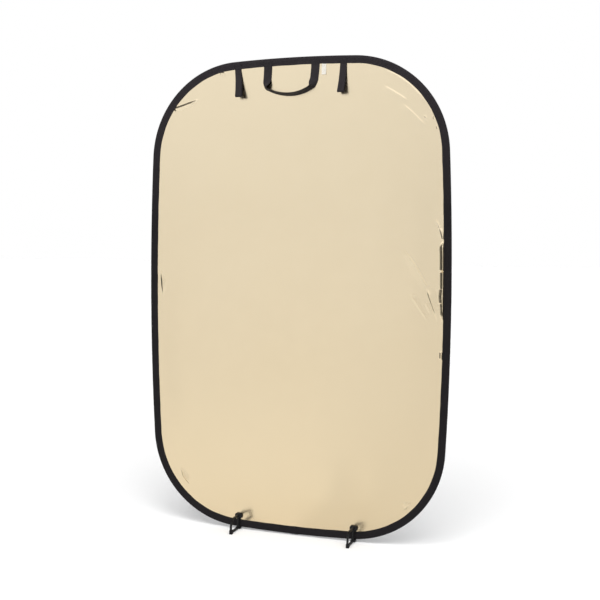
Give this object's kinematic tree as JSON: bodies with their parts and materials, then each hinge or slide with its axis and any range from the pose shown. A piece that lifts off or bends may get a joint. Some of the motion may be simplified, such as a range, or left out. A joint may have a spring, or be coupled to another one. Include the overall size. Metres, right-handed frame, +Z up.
{
  "type": "collapsible reflector panel",
  "caption": "Tall collapsible reflector panel with rounded corners: gold fabric on a sprung steel hoop, black bound rim, carry handle, hanging loops and sprung clip-on feet.",
  "frame": {"origin": "middle of the panel's foot on the floor: the bottom centre of the part's box", "axes": "+Z up along the panel's height, +X to the right seen from the gold front, +Y to the back; the gold face looks to -Y"},
  "size_m": [1.2, 0.1712, 1.8048],
  "materials": {
    "spring_band": "blued spring steel, hidden in the binding",
    "crimp_sleeve": "zinc-plated crimped sleeve",
    "binding_tape": "matt black woven tape, stitched",
    "gold_fabric": "satin metallised gold fabric",
    "silver_fabric": "satin metallised silver fabric",
    "webbing": "black polypropylene webbing",
    "label_cloth": "plain white woven label",
    "lever_nylon": "black glass-filled nylon, satin",
    "rubber": "black moulded rubber",
    "hinge_pin": "zinc-plated steel pin",
    "spring_wire": "drawn spring steel wire"
  },
  "bodies": {
    "panel": {"steel_hoop": "spring_band", "hoop_sleeve": "crimp_sleeve", "rim_binding": "binding_tape", "front_fabric": "gold_fabric", "rear_fabric": "silver_fabric"},
    "handle": {"carry_handle": "webbing"},
    "left_loop": {"left_hang_strap": "webbing"},
    "right_loop": {"right_hang_strap": "webbing"},
    "label": {"care_label": "label_cloth"},
    "left_front_foot": {"left_front_lever": "lever_nylon", "left_front_pad": "rubber", "left_front_tip": "rubber", "left_hinge_pin": "hinge_pin", "left_spring": "spring_wire"},
    "left_rear_foot": {"left_rear_lever": "lever_nylon", "left_rear_pad": "rubber", "left_rear_tip": "rubber"},
    "right_front_foot": {"right_front_lever": "lever_nylon", "right_front_pad": "rubber", "right_front_tip": "rubber", "right_hinge_pin": "hinge_pin", "right_spring": "spring_wire"},
    "right_rear_foot": {"right_rear_lever": "lever_nylon", "right_rear_pad": "rubber", "right_rear_tip": "rubber"}
  },
  "joints": [
    {"name": "handle_swing", "type": "hinge", "parent": "panel", "child": "handle", "pos_m": [0, -0.0019, 1.77406], "axis": [-1, 0, 0], "range_deg": [0, 150]},
    {"name": "left_loop_swing", "type": "hinge", "parent": "panel", "child": "left_loop", "pos_m": [0, -0.0023, 1.76941], "axis": [-1, 0, 0], "range_deg": [0, 150]},
    {"name": "right_loop_swing", "type": "hinge", "parent": "panel", "child": "right_loop", "pos_m": [0, -0.0023, 1.77093], "axis": [-1, 0, 0], "range_deg": [0, 150]},
    {"name": "label_swing", "type": "hinge", "parent": "panel", "child": "label", "pos_m": [0, -0.0011, 1.77327], "axis": [-1, 0, 0], "range_deg": [0, 150]},
    {"name": "left_front_jaw", "type": "hinge", "parent": "panel", "child": "left_front_foot", "pos_m": [-0.221, 0, 0.0048], "axis": [1, 0, 0], "range_deg": [0, 25], "stiffness_Nm_per_rad": 0.25, "springref_deg": -68.75, "deforming": ["left_spring"]},
    {"name": "left_rear_jaw", "type": "hinge", "parent": "panel", "child": "left_rear_foot", "pos_m": [-0.221, 0, 0.0048], "axis": [-1, 0, 0], "range_deg": [0, 25], "stiffness_Nm_per_rad": 0.25, "springref_deg": -68.75, "deforming": ["left_spring"]},
    {"name": "right_front_jaw", "type": "hinge", "parent": "panel", "child": "right_front_foot", "pos_m": [0.246, 0, 0.0048], "axis": [1, 0, 0], "range_deg": [0, 25], "stiffness_Nm_per_rad": 0.25, "springref_deg": -68.75, "deforming": ["right_spring"]},
    {"name": "right_rear_jaw", "type": "hinge", "parent": "panel", "child": "right_rear_foot", "pos_m": [0.246, 0, 0.0048], "axis": [-1, 0, 0], "range_deg": [0, 25], "stiffness_Nm_per_rad": 0.25, "springref_deg": -68.75, "deforming": ["right_spring"]}
  ]
}
